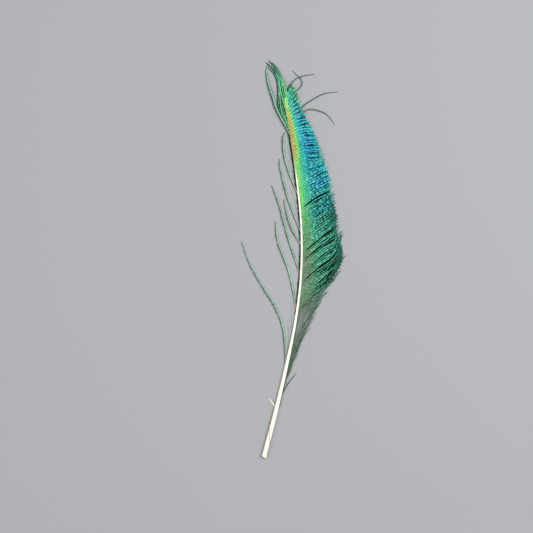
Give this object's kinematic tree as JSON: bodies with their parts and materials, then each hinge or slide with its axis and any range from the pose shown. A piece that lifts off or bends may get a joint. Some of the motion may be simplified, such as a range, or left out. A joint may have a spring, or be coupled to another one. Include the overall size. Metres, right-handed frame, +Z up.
{
  "type": "peacock sword feather",
  "caption": "One-sided curved tail feather lying flat: a bowed quill with a broad vane of locks on its right, a tuft at its tip and loose barbs on its left.",
  "frame": {"origin": "on the quill's flat underside, 12 mm from its cut end, where it rests on the surface", "axes": "+Y up the feather towards its tip, +X towards its broad vane, +Z up from the surface that it lies on"},
  "size_m": [0.0824, 0.3162, 0.0035],
  "materials": {
    "barbs": "iridescent barbs, green beside the quill, blue to teal towards the margin, silky gloss",
    "quill": "cream keratin, satin"
  },
  "bodies": {
    "root": {"feather": "barbs"}
  },
  "joints": []
}
